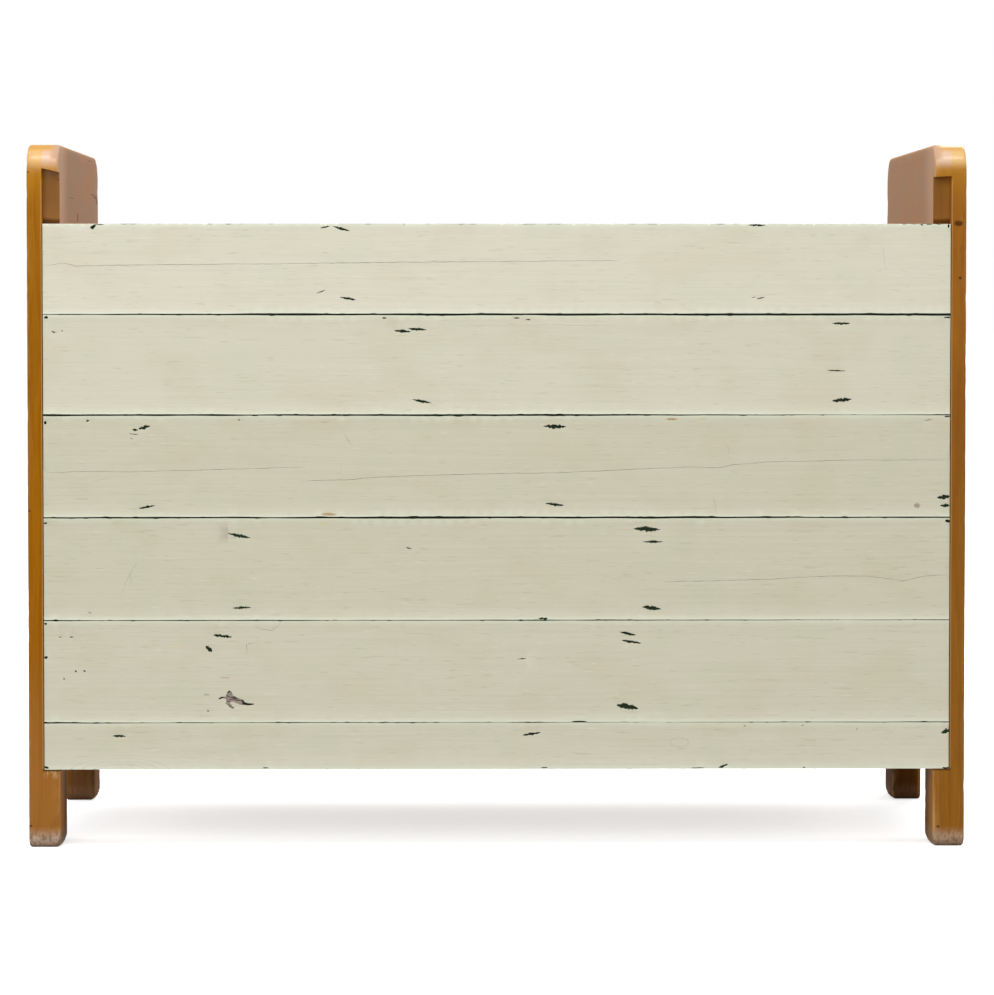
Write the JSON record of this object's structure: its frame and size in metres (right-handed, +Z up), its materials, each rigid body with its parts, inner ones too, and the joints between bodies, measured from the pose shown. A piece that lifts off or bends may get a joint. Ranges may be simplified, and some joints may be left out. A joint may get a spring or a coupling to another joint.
{
  "type": "pull-out bench bed",
  "caption": "Small pine bench with painted plank back, solid ends, a hinged seat lid and a box front that pulls out on slatted combs to widen into a bed.",
  "frame": {"origin": "on the floor under the middle of the closed bench", "axes": "+Z up, +X to the left of someone who sits on the bench, -Y to the front, where the bed pulls out"},
  "size_m": [1.1, 0.5, 0.826],
  "materials": {
    "varnished_pine": "amber varnish, worn",
    "painted_boards": "cream oil paint over old green, chipped",
    "bare_pine": "planed and left bare",
    "brass_hinges": "dull old brass",
    "steel_bolts": "dark oiled steel"
  },
  "bodies": {
    "bench_frame": {"side_left": "varnished_pine", "side_right": "varnished_pine", "back_board_1": "painted_boards", "back_board_2": "painted_boards", "back_board_3": "painted_boards", "back_board_4": "painted_boards", "back_board_5": "painted_boards", "back_board_6": "painted_boards", "runner_left": "bare_pine", "runner_right": "bare_pine", "seat_cleat_left": "bare_pine", "seat_cleat_right": "bare_pine", "slat_rail_front": "bare_pine", "slat_rail_rear": "bare_pine", "seat_rail_rear": "bare_pine", "seat_strip": "varnished_pine", "fixed_slat_1": "bare_pine", "fixed_slat_2": "bare_pine", "fixed_slat_3": "bare_pine", "fixed_slat_4": "bare_pine", "fixed_slat_5": "bare_pine", "fixed_slat_6": "bare_pine", "fixed_slat_7": "bare_pine", "hinge_frame_leaf_left": "brass_hinges", "hinge_frame_leaf_right": "brass_hinges", "hinge_pin_left": "brass_hinges", "hinge_pin_right": "brass_hinges"},
    "seat_lid": {"lid_board_1": "varnished_pine", "lid_board_2": "varnished_pine", "lid_board_3": "varnished_pine", "lid_board_4": "varnished_pine", "lid_batten_left": "bare_pine", "lid_batten_right": "bare_pine", "hinge_lid_leaf_left": "brass_hinges", "hinge_lid_leaf_right": "brass_hinges"},
    "pull_out": {"front_board_1": "painted_boards", "front_board_2": "painted_boards", "front_board_3": "painted_boards", "pull_side_left": "bare_pine", "pull_side_right": "bare_pine", "slat_ledger": "bare_pine", "stop_batten": "bare_pine", "pull_slat_1": "bare_pine", "pull_slat_2": "bare_pine", "pull_slat_3": "bare_pine", "pull_slat_4": "bare_pine", "pull_slat_5": "bare_pine", "pull_slat_6": "bare_pine", "pull_slat_7": "bare_pine", "pull_slat_8": "bare_pine", "knob_left": "varnished_pine", "knob_right": "varnished_pine", "leg_bolt_left": "steel_bolts", "leg_bolt_right": "steel_bolts", "leg_washers": "steel_bolts", "leg_nuts": "steel_bolts"},
    "leg_left": {"leg_left": "bare_pine"},
    "leg_right": {"leg_right": "bare_pine"}
  },
  "joints": [
    {"name": "lid_hinge", "type": "hinge", "parent": "bench_frame", "child": "seat_lid", "pos_m": [0, 0.178, 0.432], "axis": [-1, 0, 0], "range_deg": [0, 100]},
    {"name": "pull_slide", "type": "slide", "parent": "bench_frame", "child": "pull_out", "axis": [0, -1, 0], "range_m": [0, 0.3]},
    {"name": "leg_fold_left", "type": "hinge", "parent": "pull_out", "child": "leg_left", "pos_m": [0.448, -0.182, 0.163], "axis": [0, -1, 0], "range_deg": [0, 90]},
    {"name": "leg_fold_right", "type": "hinge", "parent": "pull_out", "child": "leg_right", "pos_m": [-0.448, -0.182, 0.163], "axis": [0, 1, 0], "range_deg": [0, 90]}
  ]
}
